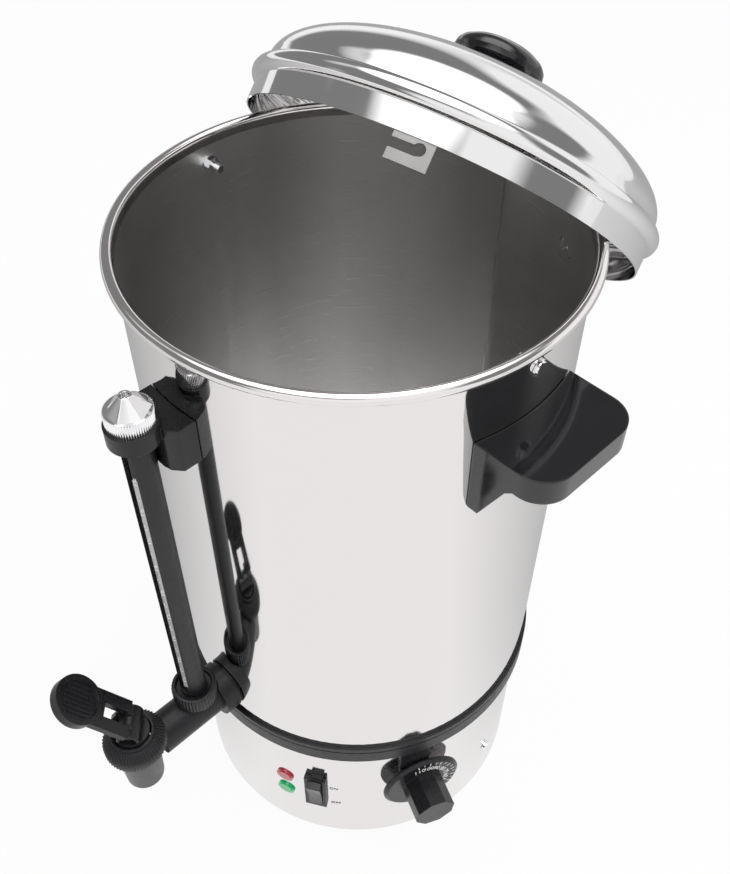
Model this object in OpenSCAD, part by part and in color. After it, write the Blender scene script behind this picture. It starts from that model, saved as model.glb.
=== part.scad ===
// Electric hot water urn: steel tank on a base, a level gauge with a lever tap, and a lift-off lid.
// Origin: centre of the plane that the feet stand on. +Z is up, the tap faces -Y, the handles lie on X.
// A feature at azimuth A sits A degrees from -Y, turning towards +X.

/* [Tank] */
// Outside diameter of the tank
tank_od = 214.2; // [200:0.2:240]
// Wall of the tank
tank_wall_t = 0.8; // [0.6:0.1:1.2]
// Height of the middle of the rolled rim
rim_z = 407; // [380:1:460]
// Outer radius of the rim's roll
rim_roll_r = 2.8; // [2.4:0.1:3.2]
// Lower edge of the tank wall
tank_foot_z = 114; // [112:0.5:116]
// Underside of the tank's bottom
tank_floor_z = 121; // [119:0.5:126]

/* [Base] */
// How far the base skirt stands inside the tank's outside
base_inset = 2.1; // [1.2:0.1:6]
// Wall of the base skirt
base_wall_t = 0.8; // [0.6:0.1:1.2]
// Height of the rubber feet
foot_h = 9; // [6:0.5:14]
// Height of the base skirt's lower edge
skirt_z = 4; // [2:0.5:8]
// Lower edge of the sealing band
band_z = 111.2; // [108:0.1:111.5]
// Height of the sealing band
band_h = 14.1; // [12:0.1:18]
// How far the band stands out from the tank
band_proud = 1.8; // [1.4:0.1:3]
// Number of ribs round the band
band_ribs = 1; // [1:1:2]

/* [Lid] */
// Clearance of the lid's skirt inside the tank
lid_play = 0.8; // [0.6:0.1:3]
// Height of the lid's skirt
lid_skirt_h = 11; // [8:0.5:14]
// Sheet thickness of the lid
lid_t = 0.7; // [0.5:0.1:1]
// Radius of the bead that rests on the rim
lid_bead_r = 5; // [4:0.25:6]
// Height of the dome above the bead
dome_h = 39; // [30:1:50]
// Width of the lid's knob
knob_d = 48; // [36:1:56]
// Height of the lid's knob
knob_h = 18; // [15:0.5:24]
// Place of the skirt's lower centre as the lid lies across the rim, from the rim's middle, over the tank's radius
lid_place = [-0.146219, 0.692997, -0.218021];
// How far the lid leans over
lid_tilt = 46.52; // [0:0.01:60]
// Which way it leans, from +X
lid_lean = 101.83; // [0:0.01:180]

/* [Tap] */
// Height of the tap's pipe
pipe_z = 142; // [136:0.5:150]
// Outside diameter of the pipe
pipe_d = 22.6; // [20:0.2:24]
// Distance of the tap's upright axis from the tank
tap_reach = 61.4; // [57:0.1:72]
// Diameter of the knurled bonnet
bonnet_d = 34.6; // [32:0.2:38]
// Height of the spout's lower end
spout_z = 118; // [110:0.5:120]
// Height of the lever's pin
pin_z = 171; // [171:0.1:172]
// Radius of the lever's pin
pin_r = 1.5; // [1.25:0.05:1.75]
// Radius of the valve stem
stem_r = 3; // [2.6:0.1:3.4]
// How far the lever is turned from straight ahead
lever_swivel = 42.9; // [-45:0.1:90]
// Rise of the lever above level
lever_rise = 44.7; // [30:0.1:60]
// Lever length from the pin to the middle of the thumb pad
lever_len = 35.5; // [32:0.5:42]
// Diameter of the thumb pad
pad_d = 27.6; // [24:0.2:32]
// Travel of the valve stem over the whole press
stem_lift = 3.97; // [3:0.01:4.5]
// Angle of the whole press
lever_press = 35; // [25:1:36]

/* [Gauge] */
// Distance of the gauge tube's axis from the tank
gauge_reach = 19.9; // [18:0.1:23]
// Outside diameter of the dark shield round the gauge tube
shield_d = 14.5; // [13:0.1:16]
// Outside diameter of the gauge glass
glass_d = 10; // [9:0.1:11]
// Depth of the upper bracket's top below the rim
bracket_drop = 36; // [27:0.5:47]
// Height of the upper bracket
bracket_h = 24; // [18:0.5:28]
// Width of the upper bracket
bracket_w = 31; // [28:0.5:36]

/* [Handles] */
// Width of a handle
grip_w = 63; // [56:1:70]
// Reach of a handle from the tank
grip_depth = 34.4; // [29:0.1:43]
// Depth of the handles' top below the rim
grip_drop = 38; // [32:1:57]
// Depth of a handle's edge
grip_edge = 13; // [10:0.5:16]
// Radius of a handle's outer corners
grip_corner_r = 15; // [10:0.5:20]
// Height of a handle's back plate
grip_back_h = 40; // [34:1:46]
// Wall of a handle
grip_t = 3; // [2.5:0.1:3.4]

/* [Controls] */
// Azimuth of the thermostat dial
dial_az = 67; // [60:0.5:72]
// Height of the dial's axis
dial_z = 72; // [66:0.5:74]
// Diameter of the dial's disc
dial_d = 49; // [46:0.5:54]
// Width of the dial's eight-sided grip
dial_grip_d = 25.2; // [22:0.2:28]
// Distance of the grip's face from the base skirt
dial_depth = 26.5; // [21:0.5:31]
// Radius of the thermostat's shaft
shaft_r = 3; // [2.5:0.1:3.5]
// Azimuth of the rocker switch
switch_az = 31.9; // [31:0.1:34]
// Height of the switch's middle
switch_z = 60; // [56:0.5:62]
// Width and height of the switch's bezel
switch_size = [13.6, 35];
// Azimuth of the two lamps
lamp_az = 20.5; // [18:0.1:21]
// Heights of the lamps
lamp_zs = [65, 47.5];
// Diameter of a lamp's lens
lamp_d = 11.4; // [9:0.1:14]

/* [Fasteners] */
// Depth of the lid-lock pins below the rim
lock_drop = 13.5; // [11:0.5:19]
// Radius of the lid-lock pins
lock_r = 2; // [1.8:0.1:2.2]
// Radius of the small screws
screw_r = 1.5; // [1.25:0.05:1.75]
// Azimuths of the screws in the base skirt
base_screw_az = [98.9, 278.9];
// Height of the screws in the base skirt
base_screw_z = 41; // [36:0.5:46]
// Distance of the feet's middles from the base skirt
foot_inset = 21; // [17:1:27]

/* [Hidden] */

$fn = 64;
fit = 0.05;
gap = 0.3;
eps = 0.5;

tank_or = tank_od / 2;
tank_ir = tank_or - tank_wall_t;
rim_r = tank_ir + rim_roll_r;
base_or = tank_or - base_inset;
base_ir = base_or - base_wall_t;
foot_circle_r = base_or - foot_inset;
tap_y = tank_or + tap_reach;
gauge_y = tank_or + gauge_reach;
bracket_z = rim_z - bracket_drop;
grip_reach = tank_or + grip_depth;
grip_z = rim_z - grip_drop;
dial_reach = base_or + dial_depth;
lock_z = rim_z - lock_drop;
lid_at = [0, 0, rim_z] + tank_or * lid_place;
band_or = tank_or + band_proud;
band_top_z = band_z + band_h;
skirt_top_z = tank_foot_z;
plate_t = 1.2;
plate_top_z = foot_h + plate_t;
tank_floor_t = 1;

pipe_r = pipe_d / 2;
pipe_bore_r = 5.5;
stub_r = 8;
flange_r = 15;
flange_y = [tank_or + 1.3, tank_or + 9.6];
wall_hole_r = stub_r + 0.4;

bonnet_r = bonnet_d / 2;
ring_z = pipe_z + pipe_r - 2.3;
ring_h = 8;
neck_r = 12;
neck_z = ring_z + ring_h + 3;
neck_h = 3.5;
bonnet_top_z = neck_z + neck_h;
body_top_r = 12.5;
body_low_r = 10.7;
chamber_r = 10;
seat_z = pipe_z - 5;
seat_r = 6.5;
outlet_r = 8;
collar_r = 6.5;
tongue_w = 5;

lever_t = 5.5;
lever_off = 6.2;
arm_w = 10.7;
arm_t = 3.6;
cheek_t = 2.6;
cam_h0 = pin_z - (bonnet_top_z + 1.6) - gap;

nut_z = pipe_z + pipe_r + 0.5;
nut_h = 11.5;
shield_r = shield_d / 2;
glass_r = glass_d / 2;
glass_ir = glass_r - 1.2;
boss_r = 11.8;
boss_z = [bracket_z - 6, bracket_z + 3.2];
cap_h = 8.4;
cap_cone_h = 6;

dial_r = dial_d / 2;
dial_back = base_or + 3.2;
dial_face = base_or + 6;
plate_az = 64.7;
plate_size = [18.6, 2.2, 26];
plate_z = band_z - 0.8 - plate_size[2] / 2;
rocker_y = base_or - 1;
foot_azs = [45, 135, 225, 315];
heat_r = tank_or - 35.1;
element_r = heat_r - 22;
tie_r = heat_r - 10;
tie_azs = [0, 120, 240];
inlet_z = 48;
grip_r0 = tank_or + gap;

// ---------- placing and shared shapes ----------

// Children are drawn as if at azimuth 0, where outward is -Y
module at_azimuth(a) {
    rotate([0, 0, a]) children();
}

// A cylinder that points outward (-Y) from y = -y0 to y = -y1
module outward(r, y0, y1) {
    translate([0, -y0, 0]) rotate([90, 0, 0]) cylinder(r = r, h = y1 - y0);
}

// Upright ring
module ring(ro, ri, h) {
    difference() {
        cylinder(r = ro, h = h);
        translate([0, 0, -eps]) cylinder(r = ri, h = h + 2 * eps);
    }
}

// Block that is centred across, from y = -y0 outward to y = -y1
module block(w, y0, y1, h) {
    translate([-w / 2, -y1, -h / 2]) cube([w, y1 - y0, h]);
}

// Six-sided nut on an upright axis
module nut(across, ri, h) {
    difference() {
        cylinder(r = across / 2 / cos(30), h = h, $fn = 6);
        translate([0, 0, -eps]) cylinder(r = ri, h = h + 2 * eps);
    }
}

// Round bar that follows a list of points: one closed mesh, kept from twisting by the direction up
function along(p, i) = let (n = len(p) - 1, d = p[min(i + 1, n)] - p[max(i - 1, 0)]) d / norm(d);
function side_of(t, up) = let (s = cross(t, up)) s / norm(s);
module bar(p, r, sides = 8, up = [0, 0, 1]) {
    n = len(p);
    verts = [for (i = [0:n - 1]) let (t = along(p, i), s = side_of(t, up), w = cross(s, t))
        for (k = [0:sides - 1]) p[i] + r * (cos(360 * k / sides) * s + sin(360 * k / sides) * w)];
    sides_f = [for (i = [0:n - 2]) for (k = [0:sides - 1])
        let (a = i * sides + k, b = i * sides + (k + 1) % sides)
        for (f = [[a, b, a + sides], [b, b + sides, a + sides]]) f];
    ends_f = [[for (k = [sides - 1:-1:0]) k], [for (k = [0:sides - 1]) (n - 1) * sides + k]];
    polyhedron(verts, concat(sides_f, ends_f), convexity = 8);
}
// Points of a curve with two end points and two pulling points
function curve(a, b, c, d, n) = [for (i = [0:n]) let (t = i / n, u = 1 - t)
    u * u * u * a + 3 * u * u * t * b + 3 * u * t * t * c + t * t * t * d];

// ---------- tank ----------

module tank_wall() {
    color("silver") difference() {
        rotate_extrude() {
            translate([tank_ir, tank_foot_z]) square([tank_wall_t, rim_z - tank_foot_z]);
            difference() {
                translate([rim_r, rim_z]) circle(r = rim_roll_r, $fn = 32);
                translate([rim_r, rim_z]) circle(r = rim_roll_r - tank_wall_t, $fn = 32);
                translate([tank_or, rim_z - 2 * rim_roll_r]) square([rim_roll_r, 1.6 * rim_roll_r]);
            }
        }
        translate([0, 0, pipe_z]) outward(wall_hole_r, tank_ir - 2, tank_or + 2);
        translate([0, 0, bracket_screw_z()]) outward(screw_r + 0.5, tank_ir - 2, tank_or + 2);
        for (a = [90, 270]) at_azimuth(a)
            translate([0, 0, lock_z]) outward(lock_r + 0.2, tank_ir - 2, tank_or + 2);
    }
}

module tank_bottom() {
    color("silver") translate([0, 0, tank_floor_z]) {
        cylinder(r = tank_ir - fit, h = tank_floor_t);
        ring(tank_ir - fit, tank_ir - fit - 1, 5);
    }
}

module lock_pins() {
    color("gainsboro") for (a = [90, 270]) at_azimuth(a) translate([0, 0, lock_z]) {
        outward(lock_r, tank_ir - 9, tank_or + 0.9);
        outward(4.2, tank_or + 0.1, tank_or + 1.2);
        outward(3.5, tank_or + 0.1, tank_or + 2);
    }
}

module lock_pin_nuts() {
    color("gainsboro") for (a = [90, 270]) at_azimuth(a) translate([0, 0, lock_z])
        difference() {
            union() {
                outward(4.4, tank_ir - 1.1, tank_ir - 0.15);
                translate([0, -tank_ir + 3.6, 0]) rotate([90, 0, 0]) cylinder(r = 3.7, h = 2.5, $fn = 6);
            }
            outward(lock_r + fit, tank_ir - 8, tank_ir + 1);
        }
}

// ---------- base ----------

module seal_band() {
    rib_pitch = 4.2;
    groove = 0.5;
    color("#1c1c1e") rotate_extrude() difference() {
        translate([base_or + fit, band_z]) square([band_or - base_or - fit, band_h]);
        translate([base_or, tank_foot_z]) square([tank_or - base_or + fit, band_h]);
        for (i = [1:band_ribs]) translate([band_or - groove, band_top_z - i * rib_pitch])
            square([groove + eps, rib_pitch * 0.2]);
    }
}

module base_skirt() {
    color("silver") difference() {
        translate([0, 0, skirt_z]) ring(base_or, base_ir, skirt_top_z - skirt_z);
        at_azimuth(dial_az) translate([0, 0, dial_z]) outward(6, base_ir - 4, base_or + 2);
        at_azimuth(switch_az) translate([0, 0, switch_z]) block(switch_size[0] - 1.6, base_ir - 4, base_or + 2,
            switch_size[1] - 1.6);
        for (z = lamp_zs) at_azimuth(lamp_az) translate([0, 0, z]) outward(lamp_d / 2 - 0.7, base_ir - 4, base_or + 2);
        at_azimuth(plate_az) translate([0, 0, plate_z]) outward(screw_r + fit, base_ir - 4, base_or + 2);
        for (a = base_screw_az) at_azimuth(a) translate([0, 0, base_screw_z])
            outward(screw_r + fit, base_ir - 4, base_or + 2);
        at_azimuth(180) translate([0, 0, inlet_z]) {
            block(28.4, base_ir - 4, base_or + 2, 20.4);
            for (s = [-1, 1]) translate([20 * s, 0, 0]) outward(screw_r + fit, base_ir - 8, base_or + 2);
        }
    }
}

module base_plate() {
    color("darkgray") difference() {
        union() {
            translate([0, 0, foot_h]) cylinder(r = base_ir - fit, h = plate_t);
            for (a = base_screw_az) at_azimuth(a) {
                translate([0, 0, foot_h + 20]) block(16, base_ir - 3, base_ir - 1.4, 40);
            }
        }
        for (a = foot_azs) at_azimuth(a) translate([0, -foot_circle_r, 0]) cylinder(r = 2, h = 30);
        for (a = tie_azs) at_azimuth(a) translate([0, -tie_r, 0]) cylinder(r = 2.2, h = 30);
        for (a = base_screw_az) at_azimuth(a) translate([0, 0, base_screw_z])
            outward(screw_r + fit, base_ir - 9, base_or);
        for (a = [-30, 0, 30, 60, 90, 120]) rotate([0, 0, a]) translate([-18, -2, foot_h - eps])
            cube([36, 4, plate_t + 2 * eps]);
    }
}

module feet() {
    color("#202020") for (a = foot_azs) at_azimuth(a) translate([0, -foot_circle_r, 0]) difference() {
        cylinder(r1 = 9.5, r2 = 11.5, h = foot_h);
        translate([0, 0, -eps]) cylinder(r = 5, h = 4 + eps);
        cylinder(r = 2, h = foot_h + 1);
    }
}

module foot_screws() {
    color("gray") for (a = foot_azs) at_azimuth(a) translate([0, -foot_circle_r, 0]) {
        translate([0, 0, 1.6]) cylinder(r = 3.6, h = 2.4);
        translate([0, 0, 3.9]) cylinder(r = 1.95, h = plate_top_z);
        translate([0, 0, plate_top_z]) nut(7, 1.9, 3);
    }
}

module base_screws() {
    color("gainsboro") for (a = base_screw_az) at_azimuth(a) translate([0, 0, base_screw_z]) {
        outward(screw_r, base_ir - 6, base_or + 0.6);
        outward(3.4, base_or + 0.1, base_or + 2);
    }
}

module tie_rods() {
    color("gray") for (a = tie_azs) at_azimuth(a) translate([0, -tie_r, 0]) {
        translate([0, 0, foot_h - 2.5]) cylinder(r = 2, h = tank_floor_z - foot_h + 2.5);
    }
}

module tie_nuts() {
    color("gray") for (a = tie_azs) at_azimuth(a) translate([0, -tie_r, 0]) {
        translate([0, 0, foot_h - 2.4]) nut(7, 2 + fit, 2.4);
        translate([0, 0, plate_top_z]) nut(7, 2 + fit, 2.4);
    }
}

// ---------- lid, drawn upright with its skirt's lower edge at z = 0, then laid across the rim ----------

lid_sr = tank_ir - lid_play;
bead_c = [lid_sr - 1.3, lid_skirt_h + lid_bead_r];
dome_r = lid_sr - 1.4;
dome_z = bead_c[1] + lid_bead_r + 2.5;
crown_z = dome_z + dome_h - 1;
bracket_az = 14.4;
steps = 32;

module lay_lid() {
    translate(lid_at) rotate([0, 0, lid_lean]) rotate([0, lid_tilt, 0]) children();
}

// Half outline of the lid's skin, inset by d
function lid_line(d) = concat(
    [[lid_sr - d, 0], [lid_sr - d, bead_c[1] - sqrt(pow(lid_bead_r - d, 2) - pow(lid_sr - d - bead_c[0], 2))]],
    [for (i = [0:12]) let (a = -66 + 150 * i / 12)
        bead_c + (lid_bead_r - d) * [cos(a), sin(a)]],
    [for (i = [0:steps]) let (a = 90 * i / steps)
        [(dome_r - d) * pow(cos(a), 1.06), dome_z + (dome_h - 1 - d) * pow(sin(a), 1.02)]]
);
function flip(v) = [for (i = [len(v) - 1:-1:0]) v[i]];

module lid_shell() {
    color("gainsboro") lay_lid() difference() {
        rotate_extrude() polygon(concat(lid_line(0), flip(lid_line(lid_t))));
        cylinder(r = 2.2, h = crown_z + 5);
    }
}

module lid_brackets() {
    plate_t = 1;
    drop = 12;
    hold = 8;
    half = 5.2;
    ro = lid_sr - lid_t - fit;
    color("gainsboro") lay_lid() for (a = [bracket_az, bracket_az + 180]) rotate([0, 0, a]) difference() {
        rotate([0, 0, -half]) rotate_extrude(angle = 2 * half)
            translate([ro - plate_t, -drop]) square([plate_t, drop + hold]);
        // the slot runs in from one side and ends in a round pocket
        translate([ro - plate_t - eps, -12, -5 - (lock_r + 0.2)]) cube([plate_t + 2 * eps, 15, 2 * lock_r + 0.4]);
        translate([ro - plate_t - eps, 3.4, -4]) rotate([0, 90, 0]) cylinder(r = 2.8, h = plate_t + 2 * eps);
    }
}

module lid_knob() {
    kr = knob_d / 2;
    color("#1a1a1c") lay_lid() translate([0, 0, crown_z]) difference() {
        rotate_extrude() polygon([
            [0, 0], [11, 0], [11.5, 3.4], [kr - 4, 5.2], [kr - 1, 6.8], [kr, 9], [kr - 0.4, 11.4],
            [kr - 2, 13.6], [kr - 6, 15.9], [kr - 12, 17.3], [kr - 18, knob_h - 0.1], [0, knob_h]
        ]);
        translate([0, 0, -eps]) cylinder(r = 2.05, h = 10 + eps);
    }
}

module lid_knob_screw() {
    color("gray") lay_lid() translate([0, 0, crown_z]) {
        translate([0, 0, -3]) cylinder(r = 2, h = 12.5);
        translate([0, 0, -lid_t - 1.2]) cylinder(r = 6, h = 1);
        translate([0, 0, -lid_t - 3.4]) cylinder(r = 3.6, h = 2.3);
    }
}

// ---------- handles ----------

module grip_outline(inset) {
    w = grip_w / 2 - inset;
    y1 = grip_reach - inset;
    r = max(grip_corner_r - inset, 2);
    translate([-w, -y1 + r]) square([2 * w, y1 - r - grip_r0 + 12]);
    translate([-w + r, -y1]) square([2 * (w - r), r + 1]);
    for (s = [-1, 1]) translate([s * (w - r), -y1 + r]) circle(r = r);
}

module handle(a) {
    side_x = grip_w / 2 - grip_t;
    color("#1a1a1c") at_azimuth(a) difference() {
        union() {
            difference() {
                translate([0, 0, grip_z - grip_edge]) linear_extrude(grip_edge) grip_outline(0);
                translate([0, 0, grip_z - grip_edge - eps]) linear_extrude(grip_edge - grip_t + eps)
                    grip_outline(grip_t);
            }
            // side cheeks that slope back to the tank below the wing
            for (s = [-1, 1]) translate([s * (side_x + grip_t / 2), 0, 0]) rotate([90, 0, -90])
                translate([0, 0, -grip_t / 2]) linear_extrude(grip_t) polygon([
                    [tank_or - 8, grip_z - 2], [tank_or - 8, grip_z - grip_back_h],
                    [tank_or + 1.5, grip_z - grip_back_h], [tank_or + 14, grip_z - grip_edge - 3],
                    [tank_or + 20, grip_z - grip_edge + 2], [tank_or + 20, grip_z - 2]
                ]);
            // back plate against the tank
            intersection() {
                translate([0, 0, grip_z - grip_back_h]) ring(grip_r0 + grip_t, grip_r0 - 1, grip_back_h - 1);
                translate([0, 0, grip_z - grip_back_h / 2 - 0.5])
                    block(grip_w - 1, tank_or / 2, grip_reach, grip_back_h + 2);
            }
        }
        cylinder(r = grip_r0, h = rim_z + 20);
        for (s = [-1, 1]) translate([14 * s, 0, grip_screw_z()]) {
            outward(screw_r + fit, grip_r0 - 12, grip_r0 + 14);
        }
        translate([0, 0, grip_screw_z()]) block(44, tank_or - 9, tank_or + 1.3, 16);
    }
}
function grip_screw_z() = grip_z - grip_back_h + 14;

module handle_right() { handle(90); }
module handle_left() { handle(270); }

// Steel pads that are welded to the tank and stand in a pocket behind each back plate
module handle_brackets() {
    color("darkgray") for (a = [90, 270]) at_azimuth(a) difference() {
        intersection() {
            translate([0, 0, grip_screw_z() - 7.5]) ring(tank_or + 1.2, tank_or + fit, 15);
            translate([0, 0, grip_screw_z()]) block(42, tank_or / 2, tank_or + 5, 20);
        }
        for (s = [-1, 1]) translate([14 * s, 0, grip_screw_z()]) outward(screw_r + fit, tank_or - 12, tank_or + 8);
    }
}

module handle_screws() {
    head_y = 2 * grip_t;
    color("gray") for (a = [90, 270]) at_azimuth(a) for (s = [-1, 1]) translate([14 * s, 0, grip_screw_z()]) {
        y0 = sqrt(pow(tank_or, 2) - 14 * 14);
        outward(screw_r, y0 + 0.6, grip_r0 + head_y);
        outward(3, grip_r0 + grip_t + 0.1, grip_r0 + head_y);
    }
}

// ---------- gauge ----------

function bracket_screw_z() = bracket_z - bracket_h / 2;

module gauge_bracket() {
    z0 = bracket_z - bracket_h;
    w = bracket_w / 2;
    y1 = tank_or + 8.4;
    color("#1c1c1e") difference() {
        union() {
            translate([0, 0, z0]) linear_extrude(bracket_h) polygon([
                [-w, -tank_or + 8], [w, -tank_or + 8], [w, -y1 + 0.2], [w - 4.5, -y1 - 3.6],
                [7, -gauge_y + 7], [-7, -gauge_y + 7], [-w + 4.5, -y1 - 3.6], [-w, -y1 + 0.2]
            ]);
            translate([0, -gauge_y, boss_z[0]]) cylinder(r = boss_r, h = boss_z[1] - boss_z[0]);
        }
        cylinder(r = tank_or + gap, h = rim_z + 20);
        translate([0, -gauge_y, 0]) {
            translate([0, 0, boss_z[0] - 60]) cylinder(r = shield_r + fit, h = 60 + boss_z[1] - boss_z[0] - 4);
            cylinder(r = glass_r + 2.1, h = boss_z[1] + 10);
        }
        translate([0, 0, bracket_screw_z()]) outward(screw_r + fit, tank_ir - 16, tank_or + 8);
    }
}

module gauge_bracket_screw() {
    color("gray") translate([0, 0, bracket_screw_z()]) {
        outward(screw_r, tank_ir - 1, tank_or + 7.5);
        outward(3.6, tank_ir - 3.2, tank_ir - 0.9);
        outward(5, tank_ir - 1, tank_ir - 0.15);
    }
}

module gauge_shield() {
    z0 = nut_z + nut_h - 5;
    z1 = boss_z[1] - 4;
    slot_w = 5.4;
    color("#161617") translate([0, -gauge_y, 0]) difference() {
        translate([0, 0, z0]) cylinder(r = shield_r, h = z1 - z0);
        translate([0, 0, z0 - eps]) cylinder(r = glass_r + 0.35, h = z1 - z0 + 2 * eps);
        translate([-slot_w / 2, -shield_r - eps, z0 + 5.4]) cube([slot_w, shield_r, z1 - z0 - 12]);
    }
}

module gauge_glass() {
    color("lightcyan", 0.4) translate([0, -gauge_y, nut_z + 2]) ring(glass_r, glass_ir, boss_z[1] - 1 - nut_z - 2);
}

module gauge_seals() {
    color("#3a3a3a") translate([0, -gauge_y, 0]) {
        translate([0, 0, boss_z[1] - 3.6]) ring(glass_r + 2, glass_r + fit, 2.2);
        translate([0, 0, nut_z + 3]) ring(glass_r + 2, glass_r + fit, 2.2);
    }
}

module gauge_cap() {
    z0 = boss_z[1] + 0.1;
    color("white") translate([0, -gauge_y, z0]) difference() {
        union() {
            cylinder(r = boss_r - 1, h = cap_h);
            translate([0, 0, cap_h]) cylinder(r1 = boss_r - 1.9, r2 = 3.8, h = cap_cone_h);
            translate([0, 0, cap_h + cap_cone_h - 0.01]) cylinder(r = 3.8, h = 0.9);
        }
        translate([0, 0, -eps]) cylinder(r = glass_r + 1, h = cap_h - 1);
        cylinder(r = 2.6, h = 40);
    }
}

module gauge_nut() {
    color("#1c1c1e") translate([0, -gauge_y, nut_z]) difference() {
        union() {
            cylinder(r1 = 12.6, r2 = 11.4, h = nut_h * 0.62);
            translate([0, 0, nut_h * 0.62 - 0.01]) cylinder(r1 = 10.6, r2 = 9.6, h = nut_h * 0.38);
        }
        translate([0, 0, -eps]) cylinder(r = 8.6, h = nut_h - 4.8 + eps);
        cylinder(r = shield_r + fit, h = nut_h + 5);
    }
}

// ---------- tap ----------

module tap_pipe() {
    y_end = tap_y - body_top_r + 0.1;
    color("#1c1c1e") difference() {
        union() {
            translate([0, 0, pipe_z]) {
                outward(pipe_r, flange_y[0] + 2, y_end);
                outward(stub_r, tank_ir - 12, flange_y[0] + 4);
            }
            difference() {
                translate([0, 0, pipe_z]) outward(flange_r, tank_or - 6, flange_y[1]);
                cylinder(r = flange_y[0], h = rim_z);
                cylinder(r = band_or + gap, h = band_top_z + gap);
                translate([0, -gauge_y, nut_z - gap]) cylinder(r = 13.1, h = 40);
            }
            translate([0, -gauge_y, pipe_z]) cylinder(r = 8.5, h = nut_z + 3 - pipe_z);
        }
        translate([0, 0, pipe_z]) outward(pipe_bore_r, tank_ir - 20, y_end + 20);
        translate([0, -gauge_y, pipe_z]) {
            cylinder(r = glass_ir, h = 40);
            translate([0, 0, nut_z + 1.5 - pipe_z]) cylinder(r = glass_r + 2.1, h = 10);
        }
        translate([0, -tap_y, 0]) cylinder(r = body_top_r, h = 300);
    }
}

module tap_wall_seal() {
    color("#3a3a3a") difference() {
        intersection() {
            translate([0, 0, pipe_z - 30]) ring(flange_y[0] - 0.15, tank_or + fit, 60);
            translate([0, 0, pipe_z]) outward(flange_r - 1.5, tank_or / 2, tank_or + 20);
        }
        translate([0, 0, pipe_z]) outward(stub_r + fit, tank_or / 2, tank_or + 20);
        cylinder(r = rim_r + 20, h = band_top_z + gap);
    }
}

module tap_back_nut() {
    color("gray") translate([0, 0, pipe_z]) difference() {
        union() {
            translate([0, -tank_ir + 7.6, 0]) rotate([90, 0, 0]) cylinder(r = 13, h = 6, $fn = 6);
            outward(12.5, tank_ir - 2.7, tank_ir - 0.9);
        }
        outward(stub_r + fit, tank_or / 2, tank_or);
    }
}

module tap_body() {
    neck_top = ring_z + ring_h - 1.2;
    color("#8d8d90") translate([0, -tap_y, 0]) difference() {
        union() {
            translate([0, 0, spout_z]) cylinder(r1 = body_low_r, r2 = body_top_r - 0.15, h = ring_z - spout_z);
            translate([0, 0, ring_z - 0.01]) cylinder(r = body_top_r - 0.15, h = neck_top - ring_z);
        }
        translate([0, 0, spout_z - eps]) cylinder(r = outlet_r, h = seat_z - 2 - spout_z + eps);
        translate([0, 0, spout_z]) cylinder(r = seat_r, h = 40);
        translate([0, 0, seat_z]) cylinder(r = chamber_r, h = 40);
        translate([0, 0, pipe_z]) rotate([-90, 0, 0]) cylinder(r = pipe_bore_r, h = 20);
    }
}

module tap_bonnet() {
    z0 = ring_z + 0.15;
    color("#1c1c1e") translate([0, -tap_y, 0]) difference() {
        union() {
            translate([0, 0, z0]) cylinder(r = bonnet_r, h = ring_h - 0.15);
            translate([0, 0, ring_z + ring_h - 0.01]) cylinder(r1 = bonnet_r - 0.6, r2 = neck_r + 0.4, h = 3.01);
            translate([0, 0, neck_z - 0.01]) cylinder(r = neck_r, h = neck_h);
        }
        translate([0, 0, z0 - eps]) cylinder(r = body_top_r + fit, h = ring_h - 0.8 + eps);
        translate([0, 0, z0]) cylinder(r = 9, h = neck_z - 0.4 - z0);
        translate([0, 0, z0]) cylinder(r = collar_r + fit, h = 40);
        translate([0, 0, bonnet_top_z - 1]) cylinder(r = 10.2, h = 5);
        // the pipe runs in under the ring's rear
        translate([0, 0, pipe_z]) rotate([-90, 0, 0]) cylinder(r = pipe_r + 0.15, h = 30);
    }
}

// Collar that turns in the bonnet's neck and carries the lever's cam
module tap_collar() {
    color("#1c1c1e") translate([0, -tap_y, 0]) difference() {
        union() {
            translate([0, 0, neck_z - 1.9]) cylinder(r = 8, h = 1.4);
            translate([0, 0, neck_z - 1.8]) cylinder(r = collar_r, h = bonnet_top_z - neck_z + 2.4);
            translate([0, 0, bonnet_top_z - 0.95]) cylinder(r = 9.8, h = 2.55);
        }
        translate([0, 0, neck_z - 5]) cylinder(r = stem_r + fit, h = 30);
    }
}

module tap_spring() {
    turns = 5;
    wire = 0.55;
    coil_r = 5;
    z0 = seat_z + 5.4 + wire;
    z1 = neck_z - 2.2 - wire;
    per = 14;
    color("gray") translate([0, -tap_y, 0]) bar([for (i = [0:turns * per]) let (a = 360 * i / per)
        [coil_r * cos(a), coil_r * sin(a), z0 + (z1 - z0) * i / (turns * per)]], wire, 6);
}

module tap_stem() {
    flats_z = pin_z - cam_h0 - stem_lift - 0.5;
    color("gainsboro") translate([0, -tap_y, 0]) rotate([0, 0, -lever_swivel]) difference() {
        union() {
            translate([0, 0, seat_z + 1.2]) cylinder(r = stem_r, h = flats_z - seat_z - 1.2);
            translate([0, 0, seat_z + 4.2]) cylinder(r = 7, h = 1);
            // flats that pass between the lever's cheeks at every lift
            intersection() {
                translate([0, 0, flats_z - 1]) cylinder(r = stem_r, h = pin_z - 0.8 - flats_z + 1);
                translate([-tongue_w / 2 + 0.2, -stem_r, flats_z - 1])
                    cube([tongue_w - 0.4, 2 * stem_r, pin_z - flats_z + 2]);
            }
            translate([-tongue_w / 2 + 0.2, -stem_r, pin_z - 2.6]) cube([tongue_w - 0.4, 2 * stem_r, 5.4]);
        }
        translate([-20, 0, pin_z]) rotate([0, 90, 0]) cylinder(r = pin_r + 0.02, h = 40);
    }
}

module tap_seat_seal() {
    color("whitesmoke") translate([0, -tap_y, seat_z + 0.1]) difference() {
        cylinder(r = 8.6, h = 4);
        translate([0, 0, 1.1]) cylinder(r = stem_r + 0.02, h = 5);
    }
}

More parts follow.
